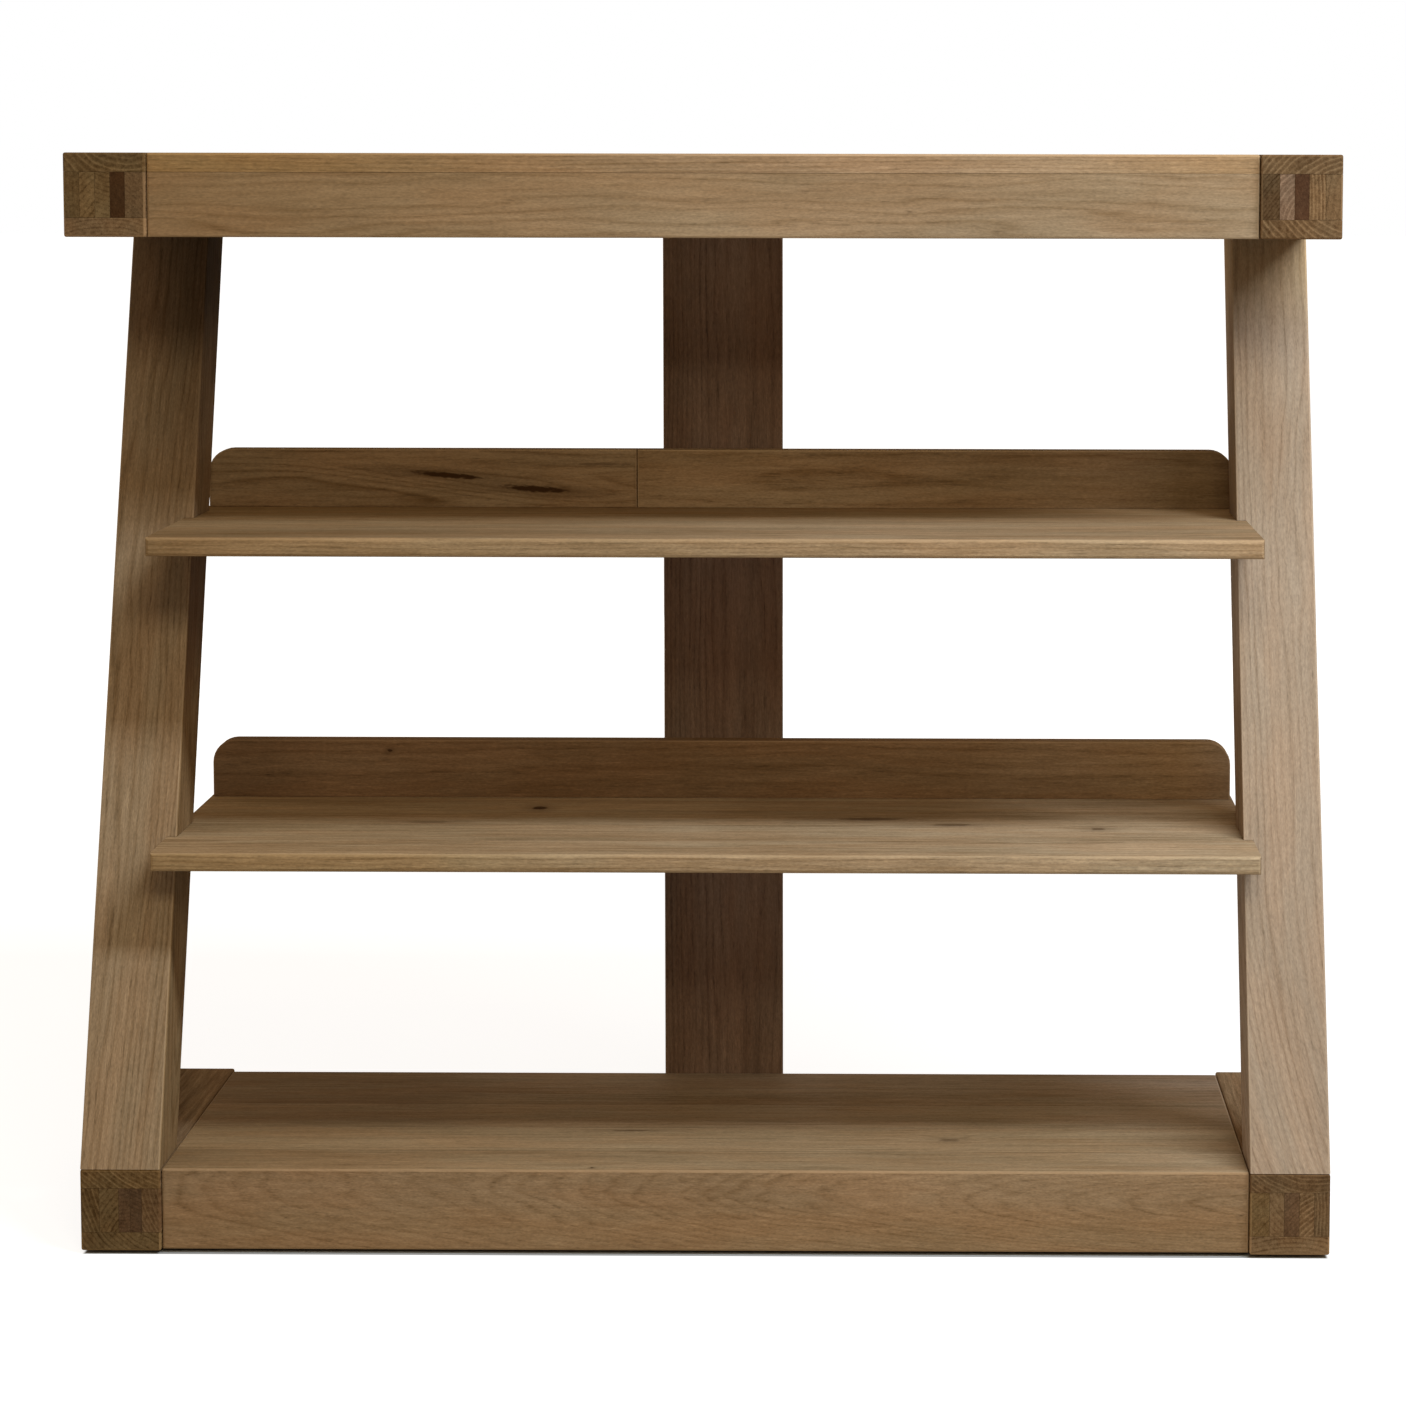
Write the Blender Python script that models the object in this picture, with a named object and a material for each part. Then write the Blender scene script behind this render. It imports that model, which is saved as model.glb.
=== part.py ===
# Open-front bookcase in solid oak, with leaning posts, a boxed top, a boxed base and two shelves.
# Metres, +Z up. The origin is on the floor, under the middle of the bookcase. The front faces -Y.

from math import cos, pi, radians, sin

import bmesh
import bpy
from mathutils import Matrix, Vector

# Overall sizes
overall_width = 1.0
overall_depth = 0.33
overall_height = 0.88

# Clearances
joint_gap = 0.0003
cut_overrun = 0.004

# Side rails: seven boards glued together, running front to back
rail_width = 0.064
rail_height = 0.066
outer_board_thickness = 0.015
frame_arris = 0.0015

# Glue lines between the core strips of each side rail, as shares of its width from the inner side
core_line_shares = {
    ("base", -1): (0.232, 0.376, 0.519, 0.763),
    ("base", 1): (0.242, 0.425, 0.614, 0.801),
    ("top", -1): (0.244, 0.425, 0.610, 0.800),
    ("top", 1): (0.228, 0.411, 0.589, 0.790),
}

# Leaning posts
post_width = 0.064
post_foot_depth = 0.07
housing_depth = 0.008

# Boxed top and boxed base
panel_thickness = 0.015
box_setback = 0.005
cross_rail_thickness = 0.022
box_arris = 0.0018
tenon_length = 0.012
tenon_height = 0.024
tenon_thickness = 0.01
tongue_length = 0.008
tongue_thickness = 0.005
tongue_end_inset = 0.025

# Shelves and the boards that stand at their backs
shelf_thickness = 0.015
shelf_setback = 0.018
shelf_arris = 0.0025
shelf_back_corner_radius = 0.022
upstand_end_inset = 0.002
upstand_height = 0.05
upstand_thickness = 0.018
upstand_inset = 0.022
upstand_corner_radius = 0.02
upstand_arris = 0.0012
upstand_seam_offset = 0.072

# Back stile
stile_width = 0.104
stile_thickness = 0.01
stile_end_margin = 0.01
stile_arris = 0.001

# Dowels between posts and side rails
dowel_radius = 0.004
dowel_length = 0.04
dowel_depth_in_rail = 0.02
dowel_spacing = 0.03
dowel_end_taper = 0.001

# Screws through the stile
screw_head_radius = 0.004
screw_head_height = 0.0028
screw_shank_radius = 0.0018
screw_length = 0.03
screw_tip_length = 0.005
screw_recess_radius = 0.0016
screw_recess_depth = 0.0012
screw_spacing = 0.06

# Floor glides
glide_radius = 0.012
glide_height = 0.003
glide_arris = 0.0006
glide_end_inset = 0.03

# Counts and the least angle that stays sharp
bay_count = 3
arris_segments = 2
corner_segments = 8
round_sides = 16
glide_sides = 24
recess_sides = 6
sharp_angle = radians(50)

# Places worked out from the sizes
half_width = overall_width / 2
front_face = -overall_depth / 2
back_face = overall_depth / 2
box_front = front_face + box_setback
box_back = back_face - stile_thickness - joint_gap
inner_face = half_width - rail_width
base_bottom = glide_height
base_top = base_bottom + rail_height
top_bottom = overall_height - rail_height
post_inner_face = half_width - post_width
post_rise = top_bottom - base_top
post_lean = (overall_depth - post_foot_depth) / post_rise
bay_height = (post_rise - (bay_count - 1) * shelf_thickness) / bay_count
lower_shelf_top = base_top + bay_height + shelf_thickness
upper_shelf_top = lower_shelf_top + bay_height + shelf_thickness
shelf_end = post_inner_face + housing_depth
shelf_front = front_face + shelf_setback
shelf_back = box_back
upstand_back = shelf_back - upstand_inset
upstand_front = upstand_back - upstand_thickness
upstand_end = shelf_end - upstand_end_inset

# Colour, roughness and metallic value of each material
finishes = {
    "oak": ((0.300, 0.192, 0.098), 0.55, 0.0),
    "oak_post": ((0.360, 0.255, 0.165), 0.55, 0.0),
    "oak_end_grain": ((0.170, 0.105, 0.050), 0.65, 0.0),
    "oak_heart": ((0.085, 0.042, 0.020), 0.65, 0.0),
    "dowel_wood": ((0.420, 0.300, 0.180), 0.60, 0.0),
    "screw_steel": ((0.450, 0.440, 0.420), 0.35, 1.0),
    "glide_felt": ((0.030, 0.028, 0.026), 0.95, 0.0),
}

# The core strip that is cut from dark heartwood, counted from the inner side of each rail
heart_strips = {("base", -1): 3, ("base", 1): 3, ("top", -1): 2, ("top", 1): 3}


def clear_scene():
    for item in list(bpy.data.objects):
        bpy.data.objects.remove(item, do_unlink=True)


def make_material(name):
    colour, roughness, metallic = finishes[name]
    material = bpy.data.materials.new(name)
    material.use_nodes = True
    shader = material.node_tree.nodes["Principled BSDF"]
    shader.inputs["Base Color"].default_value = (*colour, 1.0)
    shader.inputs["Roughness"].default_value = roughness
    shader.inputs["Metallic"].default_value = metallic
    material.diffuse_color = (*colour, 1.0)
    return material


def smooth_rounds(mesh):
    """Shade the rounds smooth and keep the corners sharp."""
    mesh.shade_smooth()
    mesh.set_sharp_from_angle(angle=sharp_angle)


def add_object(name, shape, material_name):
    """Turn a bmesh in world places into an object whose origin is at the middle of its box."""
    bmesh.ops.recalc_face_normals(shape, faces=shape.faces)
    low = Vector(min(vertex.co[axis] for vertex in shape.verts) for axis in range(3))
    high = Vector(max(vertex.co[axis] for vertex in shape.verts) for axis in range(3))
    middle = (low + high) / 2
    bmesh.ops.translate(shape, verts=shape.verts, vec=-middle)
    mesh = bpy.data.meshes.new(name)
    shape.to_mesh(mesh)
    shape.free()
    smooth_rounds(mesh)
    item = bpy.data.objects.new(name, mesh)
    item.data.materials.append(materials[material_name])
    item.location = middle
    item.parent = bookcase
    bpy.context.scene.collection.objects.link(item)
    return item


def side_names(edge, low, high):
    """The two faces of a box that meet at this edge, such as front and top."""
    pairs = (("left", "right"), ("front", "back"), ("bottom", "top"))
    middle = (edge.verts[0].co + edge.verts[1].co) / 2
    names = set()
    for axis, pair in enumerate(pairs):
        quarter = (high[axis] - low[axis]) / 4
        if middle[axis] < low[axis] + quarter:
            names.add(pair[0])
        elif middle[axis] > high[axis] - quarter:
            names.add(pair[1])
    return names


def ease_edges(shape, edges, radius):
    bmesh.ops.bevel(
        shape,
        geom=edges,
        offset=radius,
        segments=arris_segments,
        profile=0.5,
        affect="EDGES",
        clamp_overlap=True,
    )


def box_shape(low, high, eased=(), radius=0.0):
    """A box between two corners. Each eased edge is named by its two faces, such as front-top."""
    shape = bmesh.new()
    size = Vector(high) - Vector(low)
    place = Matrix.Translation((Vector(low) + Vector(high)) / 2) @ Matrix.Diagonal((*size, 1.0))
    bmesh.ops.create_cube(shape, size=1.0, matrix=place)
    if eased:
        wanted = [set(pair.split("-")) for pair in eased]
        edges = [edge for edge in shape.edges if side_names(edge, low, high) in wanted]
        ease_edges(shape, edges, radius)
    return shape


def turned_shape(profile, sides):
    """A closed solid turned round Z from (radius, height) points that start and end on the axis."""
    shape = bmesh.new()
    points = [shape.verts.new((radius, 0.0, height)) for radius, height in profile]
    edges = [shape.edges.new(pair) for pair in zip(points, points[1:])]
    bmesh.ops.spin(
        shape,
        geom=points + edges,
        axis=(0.0, 0.0, 1.0),
        cent=(0.0, 0.0, 0.0),
        steps=sides,
        angle=2 * pi,
        use_merge=True,
    )
    bmesh.ops.remove_doubles(shape, verts=shape.verts, dist=joint_gap / 10)
    return shape


def plate_shape(outline, thickness, axis):
    """A flat plate: an outline in a plane, drawn out along the axis that stands square to it."""
    shape = bmesh.new()
    corners = [shape.verts.new(point) for point in outline]
    face = shape.faces.new(corners)
    drawn = bmesh.ops.extrude_face_region(shape, geom=[face])
    moved = [item for item in drawn["geom"] if isinstance(item, bmesh.types.BMVert)]
    bmesh.ops.translate(shape, verts=moved, vec=Vector(axis) * thickness)
    return shape


def arc_points(centre, radius, start, end):
    """Points of an arc in a plane, as pairs, from one angle to another."""
    points = []
    for step in range(corner_segments + 1):
        angle = start + (end - start) * step / corner_segments
        points.append((centre[0] + radius * cos(angle), centre[1] + radius * sin(angle)))
    return points


def combine(target, tool_shape, operation):
    """Cut a shape out of an object, or join it on, with an exact Boolean that is then applied."""
    bmesh.ops.recalc_face_normals(tool_shape, faces=tool_shape.faces)
    tool_mesh = bpy.data.meshes.new("tool")
    tool_shape.to_mesh(tool_mesh)
    tool_shape.free()
    tool = bpy.data.objects.new("tool", tool_mesh)
    tool.hide_render = True
    tool.display_type = "WIRE"
    bpy.context.scene.collection.objects.link(tool)
    modifier = target.modifiers.new("combine", "BOOLEAN")
    modifier.operation = operation
    modifier.solver = "EXACT"
    modifier.object = tool
    evaluated = target.evaluated_get(bpy.context.evaluated_depsgraph_get())
    target.data = bpy.data.meshes.new_from_object(evaluated)
    target.modifiers.clear()
    bpy.data.objects.remove(tool, do_unlink=True)
    smooth_rounds(target.data)


def cut(target, cutter_shape):
    combine(target, cutter_shape, "DIFFERENCE")


def join(target, added_shape):
    combine(target, added_shape, "UNION")


def span(side, inner, outer):
    """Low and high X of a piece that lies between two distances from the middle, on one side."""
    return (inner, outer) if side > 0 else (-outer, -inner)


def side_word(side):
    return "right" if side > 0 else "left"


def outer_and_inner(side):
    """The names of a piece's outer and inner faces on one side of the bookcase."""
    return ("right", "left") if side > 0 else ("left", "right")


# Side rails


def core_strip_spans(level, side):
    """X spans of the core strips of one side rail, from its inner side outwards."""
    lines = [inner_face + rail_width * share for share in core_line_shares[level, side]]
    starts = [inner_face] + [line + joint_gap for line in lines]
    ends = lines + [half_width]
    return [span(side, start, end) for start, end in zip(starts, ends)]


def make_rail_boards(level, side, bottom):
    """The wide boards at the top and the bottom of one side rail."""
    outer, inner = outer_and_inner(side)
    low_x, high_x = span(side, inner_face, half_width)
    top = bottom + rail_height
    spans = {
        "bottom": (bottom, bottom + outer_board_thickness),
        "top": (top - outer_board_thickness, top),
    }
    boards = {}
    for place, (low_z, high_z) in spans.items():
        eased = [
            f"{outer}-{place}",
            f"{inner}-{place}",
            f"front-{place}",
            f"back-{place}",
            f"{outer}-front",
            f"{outer}-back",
            f"{inner}-front",
            f"{inner}-back",
        ]
        shape = box_shape((low_x, front_face, low_z), (high_x, back_face, high_z), eased, frame_arris)
        name = f"{level}_{side_word(side)}_rail_{place}_board"
        boards[place] = add_object(name, shape, "oak_end_grain")
    return boards


def make_core_strips(level, side, bottom):
    """The narrow strips on edge between the two wide boards of one side rail."""
    outer, inner = outer_and_inner(side)
    low_z = bottom + outer_board_thickness + joint_gap
    high_z = bottom + rail_height - outer_board_thickness - joint_gap
    spans = core_strip_spans(level, side)
    strips = []
    for number, (low_x, high_x) in enumerate(spans, start=1):
        eased = []
        if number == 1:
            eased = [f"{inner}-front", f"{inner}-back"]
        if number == len(spans):
            eased = [f"{outer}-front", f"{outer}-back"]
        shape = box_shape((low_x, front_face, low_z), (high_x, back_face, high_z), eased, frame_arris)
        name = f"{level}_{side_word(side)}_rail_core_{number}"
        material_name = "oak_heart" if number == heart_strips[level, side] else "oak_end_grain"
        strips.append(add_object(name, shape, material_name))
    return strips


def cross_rail_spans():
    """Y spans of the front and back rails of the boxed top and base."""
    return {
        "front": (box_front, box_front + cross_rail_thickness),
        "back": (box_back - cross_rail_thickness, box_back),
    }


def tenon_box(side, y_span, bottom, gap):
    """The tenon at one end of a cross rail, or its mortise when the gap is given."""
    middle_y = (y_span[0] + y_span[1]) / 2
    middle_z = bottom + rail_height / 2
    low_x, high_x = span(side, inner_face - joint_gap - cut_overrun, inner_face + tenon_length + gap)
    low = (low_x, middle_y - tenon_thickness / 2 - gap, middle_z - tenon_height / 2 - gap)
    high = (high_x, middle_y + tenon_thickness / 2 + gap, middle_z + tenon_height / 2 + gap)
    return box_shape(low, high)


def tongue_box(side, panel_top, gap):
    """The tongue at one end of a panel, or its groove when the gap is given."""
    middle_z = panel_top - panel_thickness / 2
    low_x, high_x = span(side, inner_face - joint_gap - cut_overrun, inner_face + tongue_length + gap)
    low = (low_x, box_front + tongue_end_inset - gap, middle_z - tongue_thickness / 2 - gap)
    high = (high_x, box_back - tongue_end_inset + gap, middle_z + tongue_thickness / 2 + gap)
    return box_shape(low, high)


def round_cutter(centre, radius, low_z, high_z):
    profile = ((0.0, low_z), (radius, low_z), (radius, high_z), (0.0, high_z))
    shape = turned_shape(profile, round_sides)
    bmesh.ops.translate(shape, verts=shape.verts, vec=(centre[0], centre[1], 0.0))
    return shape


def dowel_places(side, level):
    """Middles of the two dowels at one end of a post, in plan."""
    x = side * (half_width - rail_width / 2)
    if level == "base":
        post_middle = front_face + post_foot_depth / 2
    else:
        post_middle = back_face - post_foot_depth / 2
    return [(x, post_middle + offset) for offset in (-dowel_spacing / 2, dowel_spacing / 2)]


def dowel_hole(centre, level):
    low_z, high_z = dowel_span(level)
    return round_cutter(centre, dowel_radius + joint_gap, low_z - joint_gap, high_z + joint_gap)


def dowel_span(level):
    """Low and high Z of the dowels that join a post to the base rail or to the top rail."""
    if level == "base":
        low_z = base_top - dowel_depth_in_rail
        return low_z, low_z + dowel_length
    high_z = top_bottom + dowel_depth_in_rail
    return high_z - dowel_length, high_z


def make_side_rail(level, side, bottom):
    """One side rail, with its mortises, its panel groove and its dowel holes."""
    boards = make_rail_boards(level, side, bottom)
    strips = make_core_strips(level, side, bottom)
    for y_span in cross_rail_spans().values():
        cut(strips[0], tenon_box(side, y_span, bottom, joint_gap))
    cut(boards["top"], tongue_box(side, bottom + rail_height, joint_gap))
    reach = dowel_radius + joint_gap
    for centre in dowel_places(side, level):
        cut(boards["top" if level == "base" else "bottom"], dowel_hole(centre, level))
        for strip, (low_x, high_x) in zip(strips, core_strip_spans(level, side)):
            if low_x < centre[0] + reach and high_x > centre[0] - reach:
                cut(strip, dowel_hole(centre, level))


# Posts


def lean(shape):
    """Shear a shape back with height, as the posts lean."""
    for vertex in shape.verts:
        vertex.co.y += post_lean * (vertex.co.z - base_top)


def make_post(side):
    low_x, high_x = span(side, post_inner_face, half_width)
    low = (low_x, front_face, base_top + joint_gap)
    high = (high_x, front_face + post_foot_depth, top_bottom - joint_gap)
    eased = ("left-front", "right-front", "left-back", "right-back")
    shape = box_shape(low, high, eased, frame_arris)
    lean(shape)
    post = add_object(f"{side_word(side)}_post", shape, "oak_post")
    for shelf_top in (lower_shelf_top, upper_shelf_top):
        cut(post, housing_cutter(side, shelf_top))
    for level in ("base", "top"):
        for centre in dowel_places(side, level):
            cut(post, dowel_hole(centre, level))


def housing_cutter(side, shelf_top):
    """The slot in a post's inner face that takes the end of a shelf."""
    low_x, high_x = span(side, post_inner_face - cut_overrun, shelf_end + joint_gap)
    low = (low_x, front_face - cut_overrun, shelf_top - shelf_thickness - joint_gap)
    high = (high_x, back_face + cut_overrun, shelf_top + joint_gap)
    return box_shape(low, high)


# Boxed top and boxed base


def make_panel(level, top):
    half_length = inner_face - joint_gap
    low = (-half_length, box_front, top - panel_thickness)
    high = (half_length, box_back, top)
    eased = ("front-top", "back-top", "left-top", "right-top", "left-front", "right-front")
    shape = box_shape(low, high, eased, box_arris)
    panel = add_object(f"{level}_panel", shape, "oak")
    for side in (-1, 1):
        join(panel, tongue_box(side, top, 0.0))


def make_cross_rails(level, bottom):
    half_length = inner_face - joint_gap
    top = bottom + rail_height - panel_thickness - joint_gap
    for place, y_span in cross_rail_spans().items():
        low = (-half_length, y_span[0], bottom)
        high = (half_length, y_span[1], top)
        eased = (f"{place}-bottom", f"left-{place}", f"right-{place}")
        shape = box_shape(low, high, eased, box_arris)
        rail = add_object(f"{level}_{place}_rail", shape, "oak")
        for side in (-1, 1):
            join(rail, tenon_box(side, y_span, bottom, 0.0))
        if place == "back":
            for screw_x in (-screw_spacing / 2, screw_spacing / 2):
                cut(rail, screw_hole(screw_x, (bottom + top) / 2))


# Shelves and upstands


def make_shelf(name, top):
    """A board with rounded back corners in plan and eased long edges."""
    radius = shelf_back_corner_radius
    right_arc = arc_points((shelf_end - radius, shelf_back - radius), radius, 0.0, pi / 2)
    left_arc = arc_points((radius - shelf_end, shelf_back - radius), radius, pi / 2, pi)
    plan = [(-shelf_end, shelf_front), (shelf_end, shelf_front)] + right_arc + left_arc
    bottom = top - shelf_thickness
    shape = plate_shape([(x, y, bottom) for x, y in plan], shelf_thickness, (0.0, 0.0, 1.0))
    edges = [edge for edge in shape.edges if is_shelf_arris(edge)]
    ease_edges(shape, edges, shelf_arris)
    shelf = add_object(name, shape, "oak")
    cut(shelf, screw_hole(0.0, top - shelf_thickness / 2))


def is_shelf_arris(edge):
    """True for the long front edges and the upright front corners of a shelf."""
    return all(abs(vertex.co.y - shelf_front) < joint_gap for vertex in edge.verts)


def make_upstand(name, low_x, high_x, rounded, shelf_top):
    """A back board that stands on a shelf. The rounded ends are named in a tuple."""
    bottom = shelf_top + joint_gap
    top = bottom + upstand_height
    radius = upstand_corner_radius
    outline = [(low_x, bottom), (high_x, bottom)]
    if "right" in rounded:
        outline += arc_points((high_x - radius, top - radius), radius, 0.0, pi / 2)
    else:
        outline.append((high_x, top))
    if "left" in rounded:
        outline += arc_points((low_x + radius, top - radius), radius, pi / 2, pi)
    else:
        outline.append((low_x, top))
    points = [(x, upstand_front, z) for x, z in outline]
    shape = plate_shape(points, upstand_thickness, (0.0, 1.0, 0.0))
    edges = [edge for edge in shape.edges if is_upstand_arris(edge, bottom)]
    ease_edges(shape, edges, upstand_arris)
    add_object(name, shape, "oak")


def is_upstand_arris(edge, bottom):
    """True for the edges of an upstand's front and back faces, apart from those on the shelf."""
    first, second = (vertex.co for vertex in edge.verts)
    runs_in_face = abs(first.y - second.y) < joint_gap
    on_shelf = max(first.z, second.z) < bottom + joint_gap
    return runs_in_face and not on_shelf


# Back stile and its screws


def screw_profile(gap):
    """Half outline of a countersunk screw, its head's face at zero height and its tip below."""
    head_radius = screw_head_radius + gap
    shank_radius = screw_shank_radius + gap
    return (
        (0.0, -screw_length - gap),
        (shank_radius, -screw_length + screw_tip_length),
        (shank_radius, -screw_head_height),
        (head_radius, 0.0),
    )


def turn_to_back(shape, x, z):
    """Turn a shape from +Z up to +Y and put its zero height at the stile's back face."""
    turn = Matrix.Rotation(-pi / 2, 4, "X")
    bmesh.ops.transform(shape, matrix=Matrix.Translation((x, back_face, z)) @ turn, verts=shape.verts)
    return shape


def screw_hole(x, z):
    profile = screw_profile(joint_gap) + ((screw_head_radius + joint_gap, cut_overrun), (0.0, cut_overrun))
    return turn_to_back(turned_shape(profile, round_sides), x, z)


def screw_places():
    """X and Z of each screw, by name."""
    half_spacing = screw_spacing / 2
    rail_middle = (rail_height - panel_thickness - joint_gap) / 2
    return {
        "base_left": (-half_spacing, base_bottom + rail_middle),
        "base_right": (half_spacing, base_bottom + rail_middle),
        "lower_shelf": (0.0, lower_shelf_top - shelf_thickness / 2),
        "upper_shelf": (0.0, upper_shelf_top - shelf_thickness / 2),
        "top_left": (-half_spacing, top_bottom + rail_middle),
        "top_right": (half_spacing, top_bottom + rail_middle),
    }


def make_screw(name, x, z):
    profile = screw_profile(0.0) + ((0.0, 0.0),)
    shape = turn_to_back(turned_shape(profile, round_sides), x, z)
    screw = add_object(f"stile_screw_{name}", shape, "screw_steel")
    recess_profile = (
        (0.0, -screw_recess_depth),
        (screw_recess_radius, -screw_recess_depth),
        (screw_recess_radius, cut_overrun),
        (0.0, cut_overrun),
    )
    cut(screw, turn_to_back(turned_shape(recess_profile, recess_sides), x, z))


def make_stile():
    half = stile_width / 2
    low = (-half, back_face - stile_thickness, base_bottom + stile_end_margin)
    high = (half, back_face, overall_height - stile_end_margin)
    eased = ("left-front", "right-front", "left-back", "right-back", "back-top", "back-bottom")
    stile = add_object("back_stile", box_shape(low, high, eased, stile_arris), "oak")
    for name, (x, z) in screw_places().items():
        cut(stile, screw_hole(x, z))
        make_screw(name, x, z)


# Dowels and glides


def make_dowels():
    for level in ("base", "top"):
        low_z, high_z = dowel_span(level)
        profile = (
            (0.0, low_z),
            (dowel_radius - dowel_end_taper, low_z),
            (dowel_radius, low_z + dowel_end_taper),
            (dowel_radius, high_z - dowel_end_taper),
            (dowel_radius - dowel_end_taper, high_z),
            (0.0, high_z),
        )
        for side in (-1, 1):
            for place, centre in zip(("front", "back"), dowel_places(side, level)):
                shape = turned_shape(profile, round_sides)
                bmesh.ops.translate(shape, verts=shape.verts, vec=(*centre, 0.0))
                name = f"{level}_{side_word(side)}_{place}_dowel"
                add_object(name, shape, "dowel_wood")


def make_glides():
    top = base_bottom - joint_gap
    profile = (
        (0.0, 0.0),
        (glide_radius - glide_arris, 0.0),
        (glide_radius, glide_arris),
        (glide_radius, top),
        (0.0, top),
    )
    places = {"front": front_face + glide_end_inset, "back": back_face - glide_end_inset}
    for side in (-1, 1):
        x = side * (half_width - rail_width / 2)
        for place, y in places.items():
            shape = turned_shape(profile, glide_sides)
            bmesh.ops.translate(shape, verts=shape.verts, vec=(x, y, 0.0))
            add_object(f"{side_word(side)}_{place}_glide", shape, "glide_felt")


clear_scene()
materials = {name: make_material(name) for name in finishes}
bookcase = bpy.data.objects.new("bookcase", None)
bpy.context.scene.collection.objects.link(bookcase)

for rail_side in (-1, 1):
    make_side_rail("base", rail_side, base_bottom)
    make_side_rail("top", rail_side, top_bottom)
    make_post(rail_side)

make_panel("base", base_top)
make_cross_rails("base", base_bottom)
make_panel("top", overall_height)
make_cross_rails("top", top_bottom)

make_shelf("lower_shelf", lower_shelf_top)
make_shelf("upper_shelf", upper_shelf_top)
make_upstand("lower_upstand", -upstand_end, upstand_end, ("left", "right"), lower_shelf_top)
seam = -upstand_seam_offset
make_upstand("upper_upstand_left", -upstand_end, seam - joint_gap, ("left",), upper_shelf_top)
make_upstand("upper_upstand_right", seam, upstand_end, ("right",), upper_shelf_top)

make_stile()
make_dowels()
make_glides()
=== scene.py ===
import random
from math import cos, sin

import bmesh
import bpy
from mathutils import Matrix, Vector


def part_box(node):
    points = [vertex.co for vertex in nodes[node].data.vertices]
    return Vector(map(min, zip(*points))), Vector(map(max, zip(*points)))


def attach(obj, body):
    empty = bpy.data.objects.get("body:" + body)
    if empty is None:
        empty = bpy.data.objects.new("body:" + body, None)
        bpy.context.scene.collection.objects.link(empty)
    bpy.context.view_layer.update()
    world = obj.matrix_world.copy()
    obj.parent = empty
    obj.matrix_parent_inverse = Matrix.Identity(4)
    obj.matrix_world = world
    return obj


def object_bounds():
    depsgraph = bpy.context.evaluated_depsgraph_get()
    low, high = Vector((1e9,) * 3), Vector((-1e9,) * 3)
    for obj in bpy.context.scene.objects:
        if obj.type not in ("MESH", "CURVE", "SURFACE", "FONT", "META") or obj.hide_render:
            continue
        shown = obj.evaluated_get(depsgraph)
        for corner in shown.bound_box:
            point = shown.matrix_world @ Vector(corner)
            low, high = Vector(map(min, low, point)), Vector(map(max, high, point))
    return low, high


# Looks of an open-front bookcase in oak. Metres, +Z up, the front faces -Y.

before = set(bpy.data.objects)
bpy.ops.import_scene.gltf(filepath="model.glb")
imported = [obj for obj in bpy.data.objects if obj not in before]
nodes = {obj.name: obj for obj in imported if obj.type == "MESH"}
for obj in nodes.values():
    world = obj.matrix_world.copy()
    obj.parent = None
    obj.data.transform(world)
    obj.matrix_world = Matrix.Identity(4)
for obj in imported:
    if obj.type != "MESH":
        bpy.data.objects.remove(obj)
cad_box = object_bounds()

# Camera, fitted to corners measured in the photograph. Its side and the principal point are in pixels.
photo_side = 1406
principal_x = 878
principal_y = 475
focal_length_px = 3652.93
camera_place = Vector((0.1572, -3.0247, 0.8746))
camera_pitch = 0.0858
camera_yaw = -0.00684
camera_roll = 0.00186
sensor_width = 36.0

# Sizes of the frame that the looks follow
low_corner, high_corner = cad_box
block_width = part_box("top_left_rail_top_board")[1].x - low_corner.x
block_height = high_corner.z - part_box("top_left_rail_bottom_board")[0].z
base_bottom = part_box("base_left_rail_bottom_board")[0].z
top_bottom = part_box("top_left_rail_bottom_board")[0].z
panel_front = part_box("base_panel")[0].y
base_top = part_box("base_panel")[1].z
shelf_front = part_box("lower_shelf")[0].y
lower_shelf_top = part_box("lower_shelf")[1].z
upper_shelf_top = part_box("upper_shelf")[1].z
stile_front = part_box("back_stile")[0].y
post_low, post_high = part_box("left_post")
post_inner = post_high.x
post_foot_depth = 0.07

# Directions
rightward = (1.0, 0.0, 0.0)
backward = (0.0, 1.0, 0.0)
upward = (0.0, 0.0, 1.0)
up_the_posts = (0.0, (post_high.y - post_low.y - post_foot_depth) / (post_high.z - post_low.z), 1.0)


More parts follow.
